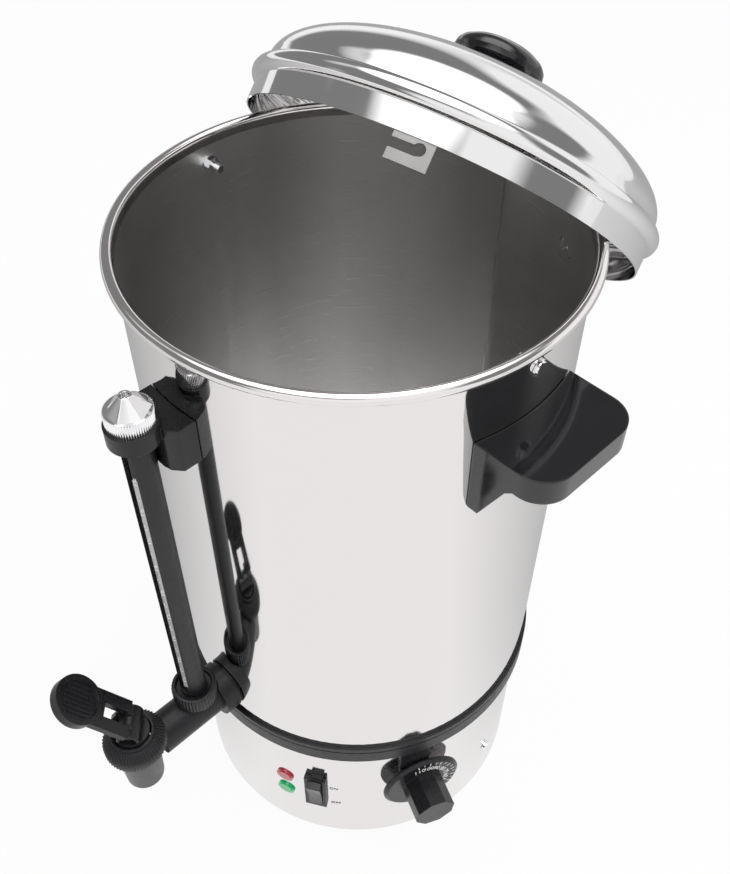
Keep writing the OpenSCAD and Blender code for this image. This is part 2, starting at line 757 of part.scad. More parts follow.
module lever_pin() {
    color("gainsboro") translate([0, -tap_y, pin_z]) rotate([0, 0, -lever_swivel])
        translate([-7.6, 0, 0]) rotate([0, 90, 0]) cylinder(r = pin_r, h = 15.2);
}

// Lever in its own frame: the pin on the X axis, -Y along the arms, +Z out of the thumb pad
module lay_lever() {
    translate([0, -tap_y, pin_z]) rotate([0, 0, -lever_swivel]) rotate([-lever_rise, 0, 0]) children();
}

// The cam's outline: it lifts the pin at an even rate as the lever is pressed
cam_rate = stem_lift / (lever_press * PI / 180);
function cam_point(a) = let (h = cam_h0 + cam_rate * a * PI / 180, d = lever_rise - a - 90)
    [h * cos(d) + cam_rate * sin(d), h * sin(d) - cam_rate * cos(d)];

module tap_lever() {
    top = lever_off;
    inner = tongue_w / 2 + 0.3;
    pr = pad_d / 2;
    color("#1c1c1e") lay_lever() difference() {
        union() {
            translate([0, -lever_len, top - lever_t]) cylinder(r = pr, h = lever_t);
            translate([-arm_w, -lever_len + 2, top - lever_t + 1]) cube([2 * arm_w, lever_len - 6, lever_t - 1.4]);
            // cheeks with the cam, on both sides of the stem
            for (s = [-1, 1]) translate([s * (inner + cheek_t / 2) - cheek_t / 2, 0, 0]) {
                rotate([90, 0, 90]) linear_extrude(cheek_t) polygon(concat(
                    [for (a = [0:5:lever_press + 10]) cam_point(a)],
                    [[-8.8, -5.6], [-9.6, 0], [-9, top - 0.4], [0.2, top - 0.6], [3.2, 4.6], [4.6, 2.6],
                     [4.7, 0.3], [3.3, -1.6], [2.3, -2.7]]
                ));
            }
        }
        // pad dish, window between the arms and the slot for the stem's tongue
        translate([0, -lever_len, top - 1.2]) cylinder(r = pr - 2.6, h = 5);
        translate([-3.9, -20, top - lever_t - 1]) cube([7.8, 14.6, lever_t + 4]);
        translate([-inner, -6.5, -8]) cube([2 * inner, 20, 20]);
        translate([-20, 0, 0]) rotate([0, 90, 0]) cylinder(r = pin_r + fit, h = 40);
    }
    color("#1c1c1e") lay_lever() {
        // finger ribs in the dish
        for (i = [-3:3]) translate([2.6 * i - 0.5, -lever_len - sqrt(pow(9.5, 2) - pow(2.6 * i, 2)), top - 1.3])
            cube([1, 2 * sqrt(pow(9.5, 2) - pow(2.6 * i, 2)), 0.9]);
    }
}

// ---------- controls ----------

module dial_knob() {
    color("#1c1c1e") at_azimuth(dial_az) translate([0, 0, dial_z]) difference() {
        union() {
            outward(dial_r, dial_back, dial_face - 1.6);
            translate([0, -dial_face + 1.6, 0]) rotate([90, 0, 0]) cylinder(r1 = dial_r, r2 = dial_r - 2, h = 1.6);
            translate([0, -dial_face + 1, 0]) rotate([90, 0, 0]) rotate([0, 0, 16])
                cylinder(r = dial_grip_d / 2, h = dial_reach - dial_face + 1, $fn = 8);
        }
        outward(shaft_r + 0.02, dial_back - 1, dial_face + 9);
    }
}

module dial_plate() {
    y = base_or + 0.1;
    color("#1c1c1e") at_azimuth(plate_az) translate([0, 0, plate_z]) {
        block(plate_size[0], y, y + plate_size[1], plate_size[2]);
        outward(screw_r, base_ir - 3, y + 0.1);
    }
}

module thermostat_shaft() {
    color("gainsboro") at_azimuth(dial_az) translate([0, 0, dial_z])
        outward(shaft_r, base_ir - 16, dial_face + 8.5);
}

module thermostat() {
    color("lightgray") at_azimuth(dial_az) translate([0, 0, dial_z]) difference() {
        union() {
            block(30, base_ir - 28, base_ir - 4, 30);
            outward(5, base_ir - 5, base_or + 0.3);
            translate([0, 0, 16]) block(12, base_ir - 24, base_ir - 12, 6);
        }
        outward(shaft_r + fit, base_ir - 17, base_or + 10);
    }
}

module thermostat_bulb() {
    from = [sin(dial_az) * (base_ir - 20), -cos(dial_az) * (base_ir - 20), dial_z + 19];
    color("darkgoldenrod") {
        bar(curve(from, from + [0, 0, 14], [30, 20, tank_floor_z - 24], [5, 20, tank_floor_z - 8.2], 14), 0.9, 8,
            [0, 1, 0]);
        translate([14 - element_r, 20, tank_floor_z - 8.2]) rotate([0, 90, 0]) cylinder(r = 3, h = element_r - 8);
    }
}

module switch_housing() {
    w = switch_size[0];
    h = switch_size[1];
    y = base_or + 0.1;
    color("#1a1a1c") at_azimuth(switch_az) translate([0, 0, switch_z]) difference() {
        union() {
            block(w, y, y + 3, h);
            translate([1.4, 0, h / 2 + 0.5]) block(w - 6.4, y, y + 2.4, 5);
            block(w - 2, base_ir - 14, y + 0.1, h - 2);
            for (z = [-5, 0, 5]) translate([0, 0, z]) block(6, base_ir - 21, base_ir - 13.5, 0.8);
        }
        block(w - 4.4, base_ir - 11, y + 5, h - 4.4);
        translate([0, -rocker_y, 0]) rotate([0, 90, 0]) cylinder(r = 1 + fit, h = w - 3.2, center = true);
    }
}

module switch_rocker() {
    w = switch_size[0] - 5;
    half = (switch_size[1] - 5) / 2;
    color("#1a1a1c") at_azimuth(switch_az) translate([0, -rocker_y, switch_z]) rotate([8, 0, 0]) union() {
        rotate([90, 0, 90]) translate([0, 0, -w / 2]) linear_extrude(w) polygon([
            [-6.3, -half + 0.9], [-5.2, 0], [-6.3, half - 0.9], [-1.4, half - 0.2], [1.6, 2.6], [1.6, -2.6],
            [-1.4, -half + 0.2]
        ]);
        rotate([0, 90, 0]) cylinder(r = 1, h = switch_size[0] - 3.4, center = true);
    }
}

module lamp(z, tint) {
    y = base_or + 0.1;
    color(tint) at_azimuth(lamp_az) translate([0, 0, z]) {
        outward(lamp_d / 2, y, y + 0.9);
        outward(lamp_d / 2 - 1.2, y + 0.5, y + 1.4);
        outward(lamp_d / 2 - 1, base_ir - 12, y + 0.1);
        for (s = [-1, 1]) translate([2 * s, 0, 0]) block(0.8, base_ir - 19, base_ir - 11.5, 3);
    }
}
module lamp_red() { lamp(lamp_zs[0], "red"); }
module lamp_green() { lamp(lamp_zs[1], "green"); }

// ---------- heating and electrics inside the base ----------

module heater_plate() {
    color("lightgray") difference() {
        translate([0, 0, tank_floor_z - 3]) cylinder(r = heat_r, h = 3);
        for (a = tie_azs) at_azimuth(a) translate([0, -tie_r, 0]) cylinder(r = 2.4, h = tank_floor_z + 5);
    }
}

module heater_element() {
    r = 3.9;
    z = tank_floor_z - 3 - r - 0.1;
    color("dimgray") rotate([0, 0, 105]) {
        translate([0, 0, z]) rotate_extrude(angle = 330) translate([element_r, 0]) circle(r = r, $fn = 32);
        for (a = [0, 330]) rotate([0, 0, a]) translate([element_r, 0, z - 16]) {
            cylinder(r = r + 1, h = 16 + r);
            translate([0, 0, -7]) cylinder(r = 1.5, h = 8);
        }
    }
}

module thermal_cutout() {
    z = tank_floor_z - 3.05;
    color("#3a2f28") translate([18, -26, 0]) {
        translate([0, 0, z - 6]) cylinder(r = 9, h = 6);
        translate([0, 0, z - 10]) cylinder(r = 7, h = 5);
        for (s = [-1, 1]) translate([4 * s - 0.4, -3, z - 17]) cube([0.8, 6, 8]);
    }
}

module terminal_block() {
    color("ivory") translate([-15, 30, plate_top_z]) difference() {
        cube([34, 17, 14]);
        for (i = [0:2]) translate([6 + 11 * i, -eps, 7]) rotate([-90, 0, 0]) cylinder(r = 2.4, h = 18);
    }
}

module inlet_socket() {
    y = base_or + 0.4;
    color("#1a1a1c") at_azimuth(180) translate([0, 0, inlet_z]) difference() {
        union() {
            block(48, y, y + 3, 24);
            block(28, base_ir - 14, y + 0.1, 20);
        }
        block(22.5, base_ir - 11, y + 10, 14.5);
        for (s = [-1, 1]) translate([20 * s, 0, 0]) outward(screw_r + fit, base_ir - 9, y + 10);
        for (i = [-1:1]) translate([7 * i, 0, i == 0 ? 2.5 : -1.5]) block(2.1, base_ir - 20, base_ir, 4.1);
    }
}

module inlet_pins() {
    color("gainsboro") at_azimuth(180) translate([0, 0, inlet_z]) for (i = [-1:1])
        translate([7 * i, 0, i == 0 ? 2.5 : -1.5]) block(2, base_ir - 21, base_ir - 1.5, 4);
}

module inlet_screws() {
    y = base_or + 3.4;
    color("gray") at_azimuth(180) translate([0, 0, inlet_z]) for (s = [-1, 1]) translate([20 * s, 0, 0]) {
        outward(screw_r, base_ir - 6, y + 0.6);
        outward(2.8, y + 0.05, y + 1.6);
    }
}

module wiring() {
    function spot(a, r, z) = [r * sin(a), -r * cos(a), z];
    tb = [-9, 30, plate_top_z + 7];
    in_y = base_ir - 21.4;
    runs = [
        [spot(180, in_y, inlet_z - 1.5) + [7, 0, 0], [10, 60, 30], [2, 70, 17], tb + [11, 17.4, 0]],
        [spot(180, in_y, inlet_z + 2.5), [-5, 60, 38], [-9, 70, 17], tb + [0, 17.4, 0]],
        [tb + [0, -0.4, 0], [-9, 0, 17], [20, -40, 30], spot(switch_az, base_ir - 22, switch_z)],
        [tb + [11, -0.4, 0], [2, 0, 17], [50, -10, 30], spot(dial_az, base_ir - 28.6, dial_z - 8)],
        [spot(lamp_az, base_ir - 19.6, lamp_zs[0]) + [-2, 0, 0], [20, -60, 70], [20, -50, 90], [14, -26, tank_floor_z - 20.8]]
    ];
    color("firebrick") for (i = [0:len(runs) - 1]) let (w = runs[i])
        bar(curve(w[0], w[1], w[2], w[3], 14), 1.1, 8, i < 2 ? [1, 0, 0] : [0, 0, 1]);
}

// ---------- assembly ----------

tank_wall();
tank_bottom();
seal_band();
base_skirt();
base_plate();
feet();
foot_screws();
base_screws();
tie_rods();
tie_nuts();
lock_pins();
lock_pin_nuts();
lid_shell();
lid_brackets();
lid_knob();
lid_knob_screw();
handle_right();
handle_left();
handle_brackets();
handle_screws();
gauge_bracket();
gauge_bracket_screw();
gauge_shield();
gauge_glass();
gauge_seals();
gauge_cap();
gauge_nut();
tap_pipe();
tap_wall_seal();
tap_back_nut();
tap_body();
tap_bonnet();
tap_collar();
tap_spring();
tap_stem();
tap_seat_seal();
lever_pin();
tap_lever();
dial_knob();
thermostat_shaft();
thermostat();
thermostat_bulb();
switch_housing();
switch_rocker();
dial_plate();
lamp_red();
lamp_green();
heater_plate();
heater_element();
thermal_cutout();
terminal_block();
inlet_socket();
inlet_pins();
inlet_screws();
wiring();
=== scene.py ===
import math

import bmesh
import bpy
from mathutils import Matrix, Vector


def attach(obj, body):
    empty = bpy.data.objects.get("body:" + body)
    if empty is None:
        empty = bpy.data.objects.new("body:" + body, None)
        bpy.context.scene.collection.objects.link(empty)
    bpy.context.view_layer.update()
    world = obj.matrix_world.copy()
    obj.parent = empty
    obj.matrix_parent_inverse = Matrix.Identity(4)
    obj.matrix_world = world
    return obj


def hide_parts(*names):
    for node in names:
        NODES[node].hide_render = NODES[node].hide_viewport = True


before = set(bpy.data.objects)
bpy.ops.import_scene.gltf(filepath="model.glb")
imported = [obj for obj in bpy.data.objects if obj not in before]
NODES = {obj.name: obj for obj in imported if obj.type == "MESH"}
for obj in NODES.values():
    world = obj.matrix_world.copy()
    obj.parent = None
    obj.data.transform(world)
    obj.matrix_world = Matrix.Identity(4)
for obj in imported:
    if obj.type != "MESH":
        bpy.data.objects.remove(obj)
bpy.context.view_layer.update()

# The urn's looks: materials on the CAD solids, its prints, knurls and other fine detail, and a plain studio.
# Lengths are in metres, except in the turned profiles, which are in mm. az is in degrees round the urn's
# axis, from the tap (-Y) to the right as seen from outside.

# ------------------------------------------------------------------ places on the part

TAP_Y, GAUGE_Y = -0.1685, -0.127
DIAL_AZ, DIAL_Z, DIAL_FACE = 67.0, 0.072, 0.111
# the tank's sheet counts as its inside within this radius and below this height
INSIDE_R, INSIDE_TOP = 0.1067, 0.4035
SKIRT_PRINT_R = 0.10503
SEAM_R, FILL_MARK_R, FILL_MARK_AZ = 0.10628, 0.10615, 151.5
SHIELD_R = 0.00725

# ------------------------------------------------------------------ camera

CAMERA_AT = (0.2728, -0.2589, 0.6682)
CAMERA_HEADING, CAMERA_TILT, CAMERA_ROLL = 45.78, 43.50, 0.09


def rotation(degrees, axis):
    return Matrix.Rotation(math.radians(degrees), 4, axis)


scene = bpy.context.scene
cam_data = bpy.data.cameras.new("camera")
cam_data.lens = 41.47
cam_data.sensor_width = 36
cam_data.clip_start = 0.01
cam = bpy.data.objects.new("camera", cam_data)
cam.matrix_world = (Matrix.Translation(CAMERA_AT) @ rotation(CAMERA_HEADING, "Z")
                    @ rotation(CAMERA_TILT, "X") @ rotation(CAMERA_ROLL, "Z"))
scene.collection.objects.link(cam)
scene.camera = cam
scene.view_settings.view_transform = "Standard"
scene.view_settings.look = "None"


def link(obj):
    scene.collection.objects.link(obj)
    return obj


# ------------------------------------------------------------------ node helpers

def new_material(name):
    mat = bpy.data.materials.new(name)
    mat.use_nodes = True
    return mat, mat.node_tree, mat.node_tree.nodes["Principled BSDF"]


def bare_tree(block, output):
    """The emptied node tree of a material or world, and the surface socket of its new output."""
    block.use_nodes = True
    tree = block.node_tree
    tree.nodes.clear()
    return tree, tree.nodes.new(output).inputs[0]


def node(tree, kind, **values):
    n = tree.nodes.new(kind)
    for key, value in values.items():
        if hasattr(n, key):
            setattr(n, key, value)
        else:
            n.inputs[key].default_value = value
    return n


def feed(tree, socket, value):
    """Links another node's output to a socket, or sets the socket's plain value."""
    if isinstance(value, bpy.types.NodeSocket):
        tree.links.new(value, socket)
    else:
        socket.default_value = value


def math_node(tree, op, a, b):
    n = node(tree, "ShaderNodeMath", operation=op)
    feed(tree, n.inputs[0], a)
    feed(tree, n.inputs[1], b)
    return n.outputs[0]


def color_mix(tree, factor, first, second, blend="MIX"):
    """Mixes two colours, each a plain colour or a node's output."""
    n = node(tree, "ShaderNodeMix", data_type="RGBA", blend_type=blend)
    for index, value in ((0, factor), (6, first), (7, second)):
        feed(tree, n.inputs[index], value)
    return n.outputs[2]


def color_ramp(tree, factor, stops):
    """A colour ramp over (position, colour) stops, of which the first is at 0 and the last at 1."""
    n = tree.nodes.new("ShaderNodeValToRGB")
    elements = n.color_ramp.elements
    elements[0].color = (*stops[0][1], 1)
    elements[1].color = (*stops[-1][1], 1)
    for position, color in stops[1:-1]:
        elements.new(position).color = (*color, 1)
    tree.links.new(factor, n.inputs[0])
    return n.outputs[0]


def mix_shaders(tree, factor, first, second):
    n = tree.nodes.new("ShaderNodeMixShader")
    for index, value in enumerate((factor, first, second)):
        tree.links.new(value, n.inputs[index])
    return n.outputs[0]


def coordinates(tree):
    return tree.nodes.new("ShaderNodeTexCoord").outputs["Object"]


def separate(tree, vector):
    n = tree.nodes.new("ShaderNodeSeparateXYZ")
    tree.links.new(vector, n.inputs[0])
    return n.outputs


def around(tree, stretch_round, stretch_up):
    """Coordinates that run round the urn's axis and up it, for brushed sheet."""
    x, y, z = separate(tree, coordinates(tree))
    both = tree.nodes.new("ShaderNodeCombineXYZ")
    angle = math_node(tree, "ARCTAN2", y, x)
    tree.links.new(math_node(tree, "MULTIPLY", angle, stretch_round), both.inputs[0])
    tree.links.new(math_node(tree, "MULTIPLY", z, stretch_up), both.inputs[1])
    return both.outputs[0]


def noise(tree, vector, scale, detail=3.0, rough=0.55):
    n = node(tree, "ShaderNodeTexNoise", Scale=scale, Detail=detail, Roughness=rough)
    tree.links.new(vector, n.inputs["Vector"])
    return n.outputs["Fac"]


def ramp(tree, value, low, high, from_min=0.3, from_max=0.7):
    n = node(tree, "ShaderNodeMapRange")
    n.inputs["From Min"].default_value = from_min
    n.inputs["From Max"].default_value = from_max
    n.inputs["To Min"].default_value = low
    n.inputs["To Max"].default_value = high
    tree.links.new(value, n.inputs["Value"])
    return n.outputs["Result"]


def bump(tree, height, strength, distance, normal=None):
    n = node(tree, "ShaderNodeBump", Distance=distance)
    feed(tree, n.inputs["Strength"], strength)
    tree.links.new(height, n.inputs["Height"])
    if normal is not None:
        tree.links.new(normal, n.inputs["Normal"])
    return n.outputs["Normal"]


# ------------------------------------------------------------------ materials

SHEET = (0.80, 0.775, 0.77)


def toned(color, level):
    """The colour at that share of its brightness, with its alpha."""
    return (*[c * level for c in color], 1)


def metal(name, color, rough_low, rough_high, wave=0.0):
    """Sheet or plated metal with uneven gloss; wave is the strength of a slow unevenness in the sheet."""
    mat, tree, bsdf = new_material(name)
    bsdf.inputs["Metallic"].default_value = 1.0
    bsdf.inputs["Base Color"].default_value = (*color, 1)
    where = coordinates(tree)
    patches = noise(tree, where, scale=60)
    tree.links.new(ramp(tree, patches, rough_low, rough_high), bsdf.inputs["Roughness"])
    if wave:
        normal = bump(tree, noise(tree, where, scale=22, detail=1.0), wave, distance=0.002)
        tree.links.new(normal, bsdf.inputs["Normal"])
    return mat


def plastic(name, color, rough_low, rough_high, grain=0.0, coat=0.0, edge=0.0):
    """Moulded plastic or rubber: uneven gloss, a moulded grain and edges softened by that radius."""
    mat, tree, bsdf = new_material(name)
    where = coordinates(tree)
    shade = noise(tree, where, scale=90, detail=4.0)
    tree.links.new(color_mix(tree, shade, toned(color, 0.85), toned(color, 1.15)), bsdf.inputs["Base Color"])
    patches = noise(tree, where, scale=240)
    tree.links.new(ramp(tree, patches, rough_low, rough_high), bsdf.inputs["Roughness"])
    bsdf.inputs["IOR"].default_value = 1.45
    bsdf.inputs["Specular IOR Level"].default_value = 0.4
    bsdf.inputs["Coat Weight"].default_value = coat
    bsdf.inputs["Coat Roughness"].default_value = 0.06
    normal = None
    if edge:
        normal = node(tree, "ShaderNodeBevel", samples=4, Radius=edge).outputs["Normal"]
    if grain:
        normal = bump(tree, noise(tree, where, scale=2600, detail=2.0), grain, distance=0.0002, normal=normal)
    if normal is not None:
        tree.links.new(normal, bsdf.inputs["Normal"])
    return mat


def lens(name, color, glow):
    """A faceted lamp lens that glows a little."""
    mat, tree, bsdf = new_material(name)
    facets = node(tree, "ShaderNodeTexVoronoi", Scale=900.0)
    tree.links.new(coordinates(tree), facets.inputs["Vector"])
    shade = color_mix(tree, facets.outputs["Distance"], (*color, 1), toned(color, 0.45))
    tree.links.new(shade, bsdf.inputs["Base Color"])
    bsdf.inputs["Roughness"].default_value = 0.12
    bsdf.inputs["Coat Weight"].default_value = 0.5
    bsdf.inputs["Emission Color"].default_value = (*color, 1)
    bsdf.inputs["Emission Strength"].default_value = glow
    return mat


def clear_glass():
    mat, tree, bsdf = new_material("clear glass")
    bsdf.inputs["Transmission Weight"].default_value = 1.0
    bsdf.inputs["Roughness"].default_value = 0.02
    bsdf.inputs["IOR"].default_value = 1.47
    bsdf.inputs["Base Color"].default_value = (0.97, 0.99, 0.98, 1)
    wave = bump(tree, noise(tree, coordinates(tree), scale=40, detail=1.0), 0.02, distance=0.001)
    tree.links.new(wave, bsdf.inputs["Normal"])
    return mat


# painted highlight and shade on the brushed inside round the axis, standing in for its reflections: (share of
# a turn, from az -180 to 180; level)
PAINTED_HIGHLIGHT_BANDS = ((0.0, 0.84), (0.03, 0.82), (0.08, 1.0), (0.14, 1.0), (0.18, 0.82), (0.20, 0.79), (0.225, 0.92),
         (0.27, 0.92), (0.32, 0.8), (0.42, 0.7), (0.6, 0.8), (0.9, 0.78), (1.0, 0.80))
# the inside's colour, between two tones
INSIDE_TONES = ((0.93, 0.915, 0.90, 1), (0.97, 0.955, 0.94, 1))


def tank_material():
    """Outside: mirror polish. Inside: sheet brushed round the axis, duller, with highlight and shade painted
    in upright stripes round it.
    """
    mat, tree, bsdf = new_material("tank sheet")
    bsdf.inputs["Metallic"].default_value = 1.0
    x, y, z = separate(tree, coordinates(tree))
    squares = [math_node(tree, "POWER", side, 2.0) for side in (x, y)]
    radius = math_node(tree, "POWER", math_node(tree, "ADD", *squares), 0.5)
    inside = math_node(tree, "MULTIPLY", math_node(tree, "LESS_THAN", radius, INSIDE_R),
                       math_node(tree, "LESS_THAN", z, INSIDE_TOP))
    scratches = noise(tree, around(tree, 4.0, 1800.0), scale=1.0, detail=5.0, rough=0.6)
    cloud = noise(tree, around(tree, 5.0, 10.0), scale=1.0, detail=2.0)

    rough = node(tree, "ShaderNodeMix")
    tree.links.new(inside, rough.inputs[0])
    tree.links.new(ramp(tree, noise(tree, coordinates(tree), scale=60), 0.035, 0.07), rough.inputs[2])
    tree.links.new(ramp(tree, scratches, 0.26, 0.36), rough.inputs[3])
    tree.links.new(rough.outputs[0], bsdf.inputs["Roughness"])

    turn = math_node(tree, "ARCTAN2", x, math_node(tree, "MULTIPLY", y, -1.0))
    share = ramp(tree, turn, 0.0, 1.0, from_min=-math.pi, from_max=math.pi)
    # painted highlight and shade: the inside's colour is lightened and darkened in upright stripes by how far
    # round the axis it lies
    painted_bands = color_ramp(tree, share, [(position, (level,) * 3) for position, level in PAINTED_HIGHLIGHT_BANDS])
    # the brushed inside's colour: its own random tone times the painted highlight and shade
    brushed = color_mix(tree, 1.0, color_mix(tree, cloud, *INSIDE_TONES), painted_bands, blend="MULTIPLY")
    tree.links.new(color_mix(tree, inside, (*SHEET, 1), brushed), bsdf.inputs["Base Color"])

    wave = bump(tree, noise(tree, coordinates(tree), scale=18, detail=1.0), 0.03, distance=0.002)
    lines = bump(tree, scratches, math_node(tree, "MULTIPLY", inside, 0.14), distance=0.0005, normal=wave)
    tree.links.new(lines, bsdf.inputs["Normal"])
    return mat


steel = metal("polished sheet", SHEET, 0.05, 0.09, wave=0.035)
lid_steel = metal("polished lid", (0.80, 0.79, 0.79), 0.05, 0.10, wave=0.05)
bright = metal("bright steel", (0.80, 0.80, 0.81), 0.12, 0.2)
zinc = metal("zinc plate", (0.58, 0.59, 0.61), 0.3, 0.42)
bracket_steel = metal("bracket steel", (0.30, 0.295, 0.29), 0.3, 0.4)
dark_steel = metal("element sheath", (0.22, 0.22, 0.23), 0.35, 0.5)
chrome = metal("chrome", (0.90, 0.90, 0.91), 0.03, 0.06)
aluminium = metal("aluminium", (0.72, 0.72, 0.74), 0.35, 0.5)
brass = metal("brass", (0.75, 0.55, 0.25), 0.2, 0.35)
gloss = plastic("gloss black", (0.010, 0.010, 0.012), 0.08, 0.13, coat=0.5, edge=0.0012)
satin = plastic("satin black", (0.012, 0.012, 0.014), 0.34, 0.46, grain=0.12, edge=0.0005)
satin_soft = plastic("satin black soft edge", (0.012, 0.012, 0.014), 0.22, 0.32, grain=0.08, edge=0.0008)
rubber = plastic("black seal", (0.010, 0.010, 0.012), 0.3, 0.42, grain=0.05, edge=0.0003)
grey_rubber = plastic("grey rubber", (0.25, 0.25, 0.25), 0.5, 0.65, grain=0.1)
grey = plastic("grey spout", (0.075, 0.075, 0.08), 0.3, 0.42, grain=0.08, edge=0.0004)
brown = plastic("brown plastic", (0.15, 0.08, 0.05), 0.4, 0.5)
ivory = plastic("ivory plastic", (0.75, 0.7, 0.58), 0.4, 0.5)
wire = plastic("wire", (0.5, 0.05, 0.04), 0.35, 0.45)
scale_grey = plastic("scale strip", (0.48, 0.48, 0.49), 0.12, 0.2, coat=0.5)
paint = plastic("white print", (0.85, 0.85, 0.85), 0.4, 0.5)
ink = plastic("dark print", (0.10, 0.10, 0.10), 0.4, 0.5)
red = lens("red lens", (0.55, 0.05, 0.07), 0.15)
green = lens("green lens", (0.0, 0.42, 0.13), 0.35)
glass = clear_glass()
tank = tank_material()

finish = {
    tank: "tank_wall",
    steel: "base_skirt",
    lid_steel: "lid_shell",
    bright: "tank_bottom lever_pin lock_pin_nuts",
    chrome: "lock_pins base_screws gauge_bracket_screw",
    zinc: "base_plate foot_screws tie_rods tie_nuts lid_knob_screw handle_brackets handle_screws "
          "tap_back_nut tap_spring thermostat thermostat_shaft inlet_screws",
    aluminium: "heater_plate",
    bracket_steel: "lid_brackets",
    dark_steel: "heater_element",
    brass: "thermostat_bulb inlet_pins",
    gloss: "lid_knob handle_right handle_left",
    satin_soft: "tap_lever dial_knob switch_rocker gauge_bracket dial_plate tap_stem",
    satin: "tap_pipe tap_collar switch_housing inlet_socket gauge_shield",
    rubber: "seal_band feet tap_wall_seal",
    grey_rubber: "gauge_seals tap_seat_seal",
    grey: "tap_body",
    brown: "thermal_cutout",
    ivory: "terminal_block",
    wire: "wiring",
    red: "lamp_red",
    green: "lamp_green",
    glass: "gauge_glass",
}
for mat, names in finish.items():
    for name in names.split():
        mesh = NODES[name].data
        mesh.materials.clear()
        mesh.materials.append(mat)

# ------------------------------------------------------------------ shading of corners

# degrees between two faces from which their edge stays crisp
PIECE_CORNER, SOLID_CORNER = 30, 32
# distance within which doubled points are joined
DOUBLED = 0.000002


def smooth(obj):
    """Shades curved faces smooth and keeps corners crisp, without touching the mesh's points."""
    mesh = obj.data
    mesh.polygons.foreach_set("use_smooth", [True] * len(mesh.polygons))
    bm = bmesh.new()
    bm.from_mesh(mesh)
    for e in bm.edges:
        e.smooth = len(e.link_faces) == 2 and e.calc_face_angle(0.0) < math.radians(PIECE_CORNER)
    bm.to_mesh(mesh)
    bm.free()


def smooth_solid(obj):
    """The same for a solid of the frame. Its surfaces meet in doubled points, which modifiers join,
    and then split again at the corners."""
    mesh = obj.data
    mesh.polygons.foreach_set("use_smooth", [True] * len(mesh.polygons))
    for layer in ("custom_normal", "sharp_edge"):
        if layer in mesh.attributes:
            mesh.attributes.remove(mesh.attributes[layer])
    weld = obj.modifiers.new("join", "WELD")
    weld.merge_threshold = DOUBLED
    split = obj.modifiers.new("corners", "EDGE_SPLIT")
    split.use_edge_sharp = False
    split.split_angle = math.radians(SOLID_CORNER)


# ------------------------------------------------------------------ making pieces

# exponent that narrows a knurl's teeth
TOOTH_ROUNDING = 0.7
# how far the flats cut a circle towards a true polygon
FLATNESS = 0.85


def piece(name, verts, faces, mat, body):
    mesh = bpy.data.meshes.new(name)
    mesh.from_pydata([Vector(v) for v in verts], [], faces)
    mesh.validate()
    obj = link(bpy.data.objects.new(name, mesh))
    mesh.materials.append(mat)
    smooth(obj)
    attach(obj, body)
    return obj


def skin(rings, count, closed=True):
    """Faces over rings of count points each, and over both end rings where it is closed."""
    faces = []
    for i in range(rings - 1):
        for k in range(count):
            n = (k + 1) % count
            faces.append((i * count + k, i * count + n, (i + 1) * count + n, (i + 1) * count + k))
    if closed:
        faces.append(tuple((rings - 1) * count + k for k in range(count)))
        faces.append(tuple(reversed(range(count))))
    return faces


def turned(name, centre, profile, mat, body, steps, closed=False):
    """A turned piece on an upright axis. profile holds (radius, height, teeth, depth, flats) in mm, from the
    bottom up the outside and on into a bore: teeth of that depth stand in from the radius, and flats cut
    the circle towards a polygon."""
    verts = []
    for r, z, teeth, depth, flats in profile:
        for k in range(steps):
            a = 2 * math.pi * k / steps
            radius = r
            if teeth:
                phase = (a * teeth / (2 * math.pi)) % 1.0
                radius -= depth * (0.5 - 0.5 * math.cos(2 * math.pi * phase)) ** TOOTH_ROUNDING
            if flats:
                part = (a % (2 * math.pi / flats)) - math.pi / flats
                radius *= (1 - FLATNESS) + FLATNESS * math.cos(math.pi / flats) / math.cos(part)
            verts.append(((radius * math.cos(a)) / 1000 + centre[0],
                          (radius * math.sin(a)) / 1000 + centre[1],
                          z / 1000 + centre[2]))
    return piece(name, verts, skin(len(profile), steps, closed), mat, body)


def on_wall(az, r, z):
    """Placement whose +X runs round the wall to the right, +Y up and +Z outward, seen from outside."""
    a = math.radians(az)
    return Matrix(((math.cos(a), 0, math.sin(a), r * math.sin(a)),
                   (math.sin(a), 0, -math.cos(a), -r * math.cos(a)),
                   (0, 1, 0, z), (0, 0, 0, 1)))


def on_inside(az, r, z):
    """The same, facing the urn's axis."""
    return on_wall(az, r, z) @ rotation(180, "Y")


def label(name, text, size, place, mat, body, depth=0.00008, bold=0.0):
    """Flat print as a mesh, so that it exports as it looks."""
    curve = bpy.data.curves.new(name, "FONT")
    curve.body = text
    curve.size = size
    curve.align_x = "CENTER"
    curve.align_y = "CENTER"
    curve.extrude = depth
    curve.offset = bold
    curve.resolution_u = 3
    temp = link(bpy.data.objects.new(name + "_temp", curve))
    bpy.context.view_layer.update()
    mesh = bpy.data.meshes.new_from_object(temp.evaluated_get(bpy.context.evaluated_depsgraph_get()))
    bpy.data.objects.remove(temp)
    mesh.transform(place)
    mesh.materials.clear()
    mesh.materials.append(mat)
    obj = link(bpy.data.objects.new(name, mesh))
    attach(obj, body)
    return obj


def bars(name, boxes, mat, body):
    """Small printed or raised strokes: each is (placement, width, height, depth)."""
    verts, faces = [], []
    for place, w, h, d in boxes:
        base = len(verts)
        for x in (-w / 2, w / 2):
            for y in (-h / 2, h / 2):
                for z in (0, d):
                    verts.append(place @ Vector((x, y, z)))
        for f in ((0, 1, 3, 2), (4, 6, 7, 5), (0, 4, 5, 1), (2, 3, 7, 6), (0, 2, 6, 4), (1, 5, 7, 3)):
            faces.append(tuple(base + i for i in f))
    return piece(name, verts, faces, mat, body)


# ------------------------------------------------------------------ print on the dial and the skirt

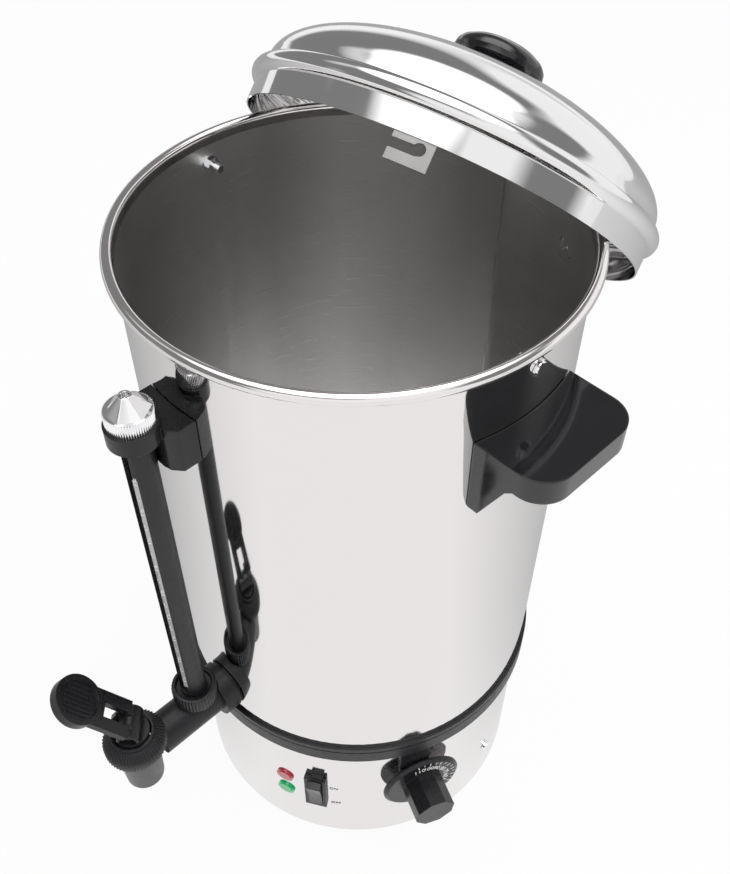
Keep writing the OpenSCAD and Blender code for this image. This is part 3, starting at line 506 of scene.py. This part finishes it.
# the numbers fall clockwise from near the top, each with a tick outside it and a shorter one after it
DIAL_START, DIAL_STEP = 8.0, 21.2
NUMBER_OUT, TICK_OUT, HALF_TICK_OUT = 0.0160, 0.0207, 0.0212
dial_at = on_wall(DIAL_AZ, DIAL_FACE + 0.00002, DIAL_Z)


def on_dial(step, out):
    """Placement that many steps clockwise round the dial and that far from its middle."""
    return dial_at @ rotation(DIAL_START - DIAL_STEP * step, "Z") @ Matrix.Translation((0, out, 0))


ticks = []
for i, value in enumerate(range(110, 20, -10)):
    label(f"dial_number_{value}", str(value), 0.0050, on_dial(i, NUMBER_OUT), paint, "dial",
          bold=0.00006)
    ticks.append((on_dial(i, TICK_OUT), 0.0006, 0.0028, 0.0001))
    if value > 30:
        ticks.append((on_dial(i + 0.5, HALF_TICK_OUT), 0.0005, 0.0018, 0.0001))
bars("dial_ticks", ticks, paint, "dial")

label("print_on", "ON", 0.0036, on_wall(37.9, SKIRT_PRINT_R, 0.0638), ink, "urn")
label("print_off", "OFF", 0.0036, on_wall(38.45, SKIRT_PRINT_R, 0.0440), ink, "urn")

# ------------------------------------------------------------------ gauge strip and its scale

# the strip lies in the shield's skin, at the edge of the sight slot
STRIP_INNER, STRIP_OUTER = SHIELD_R - 0.0002, SHIELD_R + 0.00008
STRIP_AZ, STRIP_SPAN = 20, 18
STRIP_FOOT, STRIP_TOP = 0.1735, 0.3455
STRIP_STEPS = 8
MARKS, MARK_FOOT, MARK_STEP = 17, 0.1795, 0.0102
MARK_DEPTH = 0.00006


def on_shield(az, z):
    return Matrix.Translation((0, GAUGE_Y, 0)) @ on_wall(az, SHIELD_R + 0.00009, z)


verts = []
for i in range(STRIP_STEPS + 1):
    a = math.radians(STRIP_AZ + STRIP_SPAN * i / STRIP_STEPS)
    for r, z in ((STRIP_INNER, STRIP_FOOT), (STRIP_OUTER, STRIP_FOOT), (STRIP_OUTER, STRIP_TOP),
                 (STRIP_INNER, STRIP_TOP)):
        verts.append((r * math.sin(a), GAUGE_Y - r * math.cos(a), z))
piece("gauge_scale", verts, skin(STRIP_STEPS + 1, 4), scale_grey, "urn")

marks = []
for i in range(MARKS):
    z = MARK_FOOT + i * MARK_STEP
    wide = 0.0007 if i % 2 else 0.0017
    marks.append((on_shield(29, z), wide, 0.0007, MARK_DEPTH))
    marks.append((on_shield(25, z + 0.0019), 0.0005, 0.0012 + 0.0006 * (i % 3), MARK_DEPTH))
    if i % 2 == 0:
        label(f"gauge_number_{i // 2 + 1}", str(i // 2 + 1), 0.0030, on_shield(31, z + 0.0030), paint, "urn",
              depth=0.00005)
bars("gauge_marks", marks, paint, "urn")

# ------------------------------------------------------------------ knurled rings, cap and lever hub

tap_c = (0, TAP_Y, 0)
gauge_c = (0, GAUGE_Y, 0)
turned("bonnet_knurl", tap_c, [
    (15.2, 151.15, 0, 0, 0), (16.6, 151.2, 0, 0, 0), (17.3, 152.0, 56, 0.7, 0), (17.3, 158.2, 56, 0.7, 0),
    (16.7, 159.1, 56, 0.7, 0), (12.9, 162.0, 56, 0.35, 0), (12.0, 162.4, 0, 0, 0), (12.0, 165.2, 0, 0, 0),
    (11.7, 165.5, 0, 0, 0), (10.6, 165.5, 0, 0, 0), (10.3, 165.2, 0, 0, 0)], satin, "urn", 448)
turned("gauge_nut_knurl", gauge_c, [
    (9.2, 153.95, 0, 0, 0), (12.0, 154.0, 0, 0, 0), (12.6, 154.7, 44, 0.6, 0), (12.6, 163.9, 44, 0.6, 0),
    (12.0, 164.8, 0, 0, 0), (11.6, 165.0, 0, 0, 0), (10.4, 165.0, 0, 0, 0), (10.0, 164.6, 0, 0, 0),
    (9.9, 162.6, 0, 0, 0), (7.4, 162.4, 0, 0, 0)], satin, "urn", 352)
cap_foot = 374.3
turned("gauge_cap_chrome", gauge_c, [
    (9.5, cap_foot, 0, 0, 0), (10.3, cap_foot + 0.1, 0, 0, 0), (10.7, cap_foot + 0.5, 60, 0.6, 0),
    (10.7, cap_foot + 7.0, 60, 0.6, 0), (10.2, cap_foot + 7.4, 0, 0, 0), (9.9, cap_foot + 7.5, 0, 0, 6),
    (3.0, cap_foot + 14.6, 0, 0, 6), (2.8, cap_foot + 15.1, 0, 0, 0), (2.5, cap_foot + 15.3, 0, 0, 0),
    (1.9, cap_foot + 15.3, 0, 0, 0), (1.7, cap_foot + 15.0, 0, 0, 0), (1.7, cap_foot + 12.0, 0, 0, 0)],
    chrome, "urn", 480, closed=True)
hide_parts("tap_bonnet")
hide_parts("gauge_nut")
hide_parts("gauge_cap")

# rounded hub round the lever's pin, half a ring with its edges cut, which joins the arms over the stem
PIN = Vector((0, TAP_Y, 0.171))
ACROSS = Vector((0.73254, -0.68072, 0))
AHEAD = Vector((-0.68072, -0.73254, 0))
HUB_HALF, HUB_BORE, HUB_R, HUB_EDGE = 0.0098, 0.0044, 0.0060, 0.0005
HUB_START, HUB_SPAN, HUB_STEPS = 5, 190, 28
HUB_SECTION = ((-HUB_HALF, HUB_BORE), (-HUB_HALF, HUB_R - HUB_EDGE), (-HUB_HALF + HUB_EDGE, HUB_R),
               (HUB_HALF - HUB_EDGE, HUB_R), (HUB_HALF, HUB_R - HUB_EDGE), (HUB_HALF, HUB_BORE))

verts = []
for i in range(HUB_STEPS + 1):
    a = math.radians(HUB_START + HUB_SPAN * i / HUB_STEPS)
    way = AHEAD * math.cos(a) + Vector((0, 0, math.sin(a)))
    for x, r in HUB_SECTION:
        verts.append(PIN + ACROSS * x + way * r)
piece("lever_hub", verts, skin(HUB_STEPS + 1, len(HUB_SECTION)), satin_soft, "lever")

# ------------------------------------------------------------------ welded seam and fill mark inside the tank

bars("tank_seam", [(on_inside(180, SEAM_R, 0.262), 0.0011, 0.276, 0.00012)], bright, "urn")
label("print_max", "MAX", 0.0105, on_inside(FILL_MARK_AZ, FILL_MARK_R, 0.3755), bright, "urn",
      depth=0.0001)
bars("max_line", [(on_inside(FILL_MARK_AZ, FILL_MARK_R, 0.3685), 0.024, 0.0009, 0.0002)], bright, "urn")

for obj in NODES.values():
    smooth_solid(obj)

# ------------------------------------------------------------------ floor

FLOOR_HALF = 4
# share of plain white in the floor that the eye sees; the rest keeps the urn's shadow
FLOOR_WHITE = 0.93
# the floor's bright side, towards the photograph's camera, as shares of +X and -Y
BRIGHT_SIDE = (0.725, 0.689)


def seen(tree, path):
    """1 for what the eye, a reflection or glass sees, 0 for what only lights the object."""
    either = math_node(tree, "MAXIMUM", path.outputs["Is Glossy Ray"], path.outputs["Is Transmission Ray"])
    return math_node(tree, "MAXIMUM", path.outputs["Is Camera Ray"], either)


def floor_material():
    """Pale floor: white to the eye, and a soft pale surface to everything that it lights."""
    mat = bpy.data.materials.new("floor")
    tree, out = bare_tree(mat, "ShaderNodeOutputMaterial")
    path = tree.nodes.new("ShaderNodeLightPath")
    diffuse = node(tree, "ShaderNodeBsdfDiffuse", Color=(0.86, 0.86, 0.86, 1))
    # painted shade: the floor beside and behind the urn gives off less light to reflections only, so only its
    # reflection in the sheet shows it darker
    unit = node(tree, "ShaderNodeVectorMath", operation="NORMALIZE")
    tree.links.new(coordinates(tree), unit.inputs[0])
    x, y, _ = separate(tree, unit.outputs[0])
    ahead = math_node(tree, "SUBTRACT", math_node(tree, "MULTIPLY", x, BRIGHT_SIDE[0]),
                      math_node(tree, "MULTIPLY", y, BRIGHT_SIDE[1]))
    # painted shade in reflections: the floor's light for reflections falls away from its bright side
    painted_shade_strength = ramp(tree, ahead, 0.4, 1.0, from_min=-0.8, from_max=0.7)
    shine = node(tree, "ShaderNodeEmission", Color=(1, 1, 1, 1))
    strength = math_node(tree, "MAXIMUM", painted_shade_strength, path.outputs["Is Camera Ray"])
    tree.links.new(strength, shine.inputs["Strength"])
    share = math_node(tree, "MULTIPLY", seen(tree, path), FLOOR_WHITE)
    tree.links.new(mix_shaders(tree, share, diffuse.outputs[0], shine.outputs[0]), out)
    return mat


floor_mesh = bpy.data.meshes.new("floor")
corners = [(-FLOOR_HALF, -FLOOR_HALF, 0), (FLOOR_HALF, -FLOOR_HALF, 0), (FLOOR_HALF, FLOOR_HALF, 0),
           (-FLOOR_HALF, FLOOR_HALF, 0)]
floor_mesh.from_pydata(corners, [], [(0, 1, 2, 3)])
floor_mesh.materials.append(floor_material())
floor = link(bpy.data.objects.new("floor", floor_mesh))

# ------------------------------------------------------------------ lamps


def soft_lamp(name, at, target, size, power):
    """A soft lamp that no reflection shows."""
    lamp = bpy.data.lights.new(name, "AREA")
    lamp.shape = "RECTANGLE"
    lamp.size, lamp.size_y = size
    lamp.energy = power
    obj = link(bpy.data.objects.new(name, lamp))
    turn = (Vector(at) - Vector(target)).to_track_quat("Z", "Y")
    obj.matrix_world = Matrix.Translation(at) @ turn.to_matrix().to_4x4()
    obj.visible_glossy = False


soft_lamp("soft_top", (0.3, 0.5, 1.9), (0, 0, 0.2), (1.4, 1.0), 14)
soft_lamp("soft_right", (1.6, -0.2, 1.1), (0, 0, 0.25), (1.0, 1.4), 8)
soft_lamp("soft_left", (-1.3, -1.1, 1.0), (0, 0, 0.25), (0.9, 1.3), 5)

# ------------------------------------------------------------------ ceiling

CEILING_R, CEILING_FOOT = 3, 9
CEILING_RINGS, CEILING_SIDES = 10, 48


def ceiling():
    """A grey dome with soft white windows and a bright middle overhead, seen only in reflections."""
    mat = bpy.data.materials.new("ceiling")
    tree, out = bare_tree(mat, "ShaderNodeOutputMaterial")
    where = coordinates(tree)
    windows = ramp(tree, noise(tree, where, scale=0.42, detail=0.0), 0.24, 1.05, from_min=0.47, from_max=0.58)
    overhead = ramp(tree, separate(tree, where)[2], 0.0, 3.4, from_min=2.45, from_max=2.8)
    shine = node(tree, "ShaderNodeEmission", Color=(1, 1, 1, 1))
    tree.links.new(math_node(tree, "MAXIMUM", windows, overhead), shine.inputs["Strength"])
    tree.links.new(shine.outputs[0], out)
    verts = []
    for i in range(CEILING_RINGS + 1):
        up = math.radians(CEILING_FOOT + (90 - CEILING_FOOT) * i / CEILING_RINGS)
        for k in range(CEILING_SIDES):
            a = 2 * math.pi * k / CEILING_SIDES
            verts.append((CEILING_R * math.cos(up) * math.cos(a), CEILING_R * math.cos(up) * math.sin(a),
                          CEILING_R * math.sin(up)))
    mesh = bpy.data.meshes.new("ceiling")
    mesh.from_pydata(verts, [], skin(CEILING_RINGS + 1, CEILING_SIDES, closed=False))
    mesh.materials.append(mat)
    obj = link(bpy.data.objects.new("ceiling", mesh))
    obj.visible_camera = obj.visible_diffuse = obj.visible_shadow = obj.visible_transmission = False


ceiling()

# ------------------------------------------------------------------ room light

# colour of the room's light by height: (share from just below the horizon to straight up, colour)
ROOM = ((0.0, (0.75, 0.75, 0.76)), (0.3, (0.7, 0.7, 0.707)), (0.5, (0.45, 0.45, 0.4545)),
        (0.62, (0.5, 0.5, 0.505)), (0.8, (0.9, 0.9, 0.909)), (1.0, (0.95, 0.95, 0.96)))


def room_light():
    """Plain white to the eye and to reflections, and a soft grey room to what it lights."""
    world = bpy.data.worlds.new("studio")
    scene.world = world
    tree, out = bare_tree(world, "ShaderNodeOutputWorld")
    path = tree.nodes.new("ShaderNodeLightPath")
    white = node(tree, "ShaderNodeBackground", Color=(1, 1, 1, 1), Strength=1.0)
    room = node(tree, "ShaderNodeBackground", Strength=0.8)
    height = separate(tree, tree.nodes.new("ShaderNodeTexCoord").outputs["Generated"])[2]
    share = ramp(tree, height, 0.0, 1.0, from_min=-0.1, from_max=1.0)
    tree.links.new(color_ramp(tree, share, ROOM), room.inputs["Color"])
    tree.links.new(mix_shaders(tree, seen(tree, path), room.outputs[0], white.outputs[0]), out)


room_light()
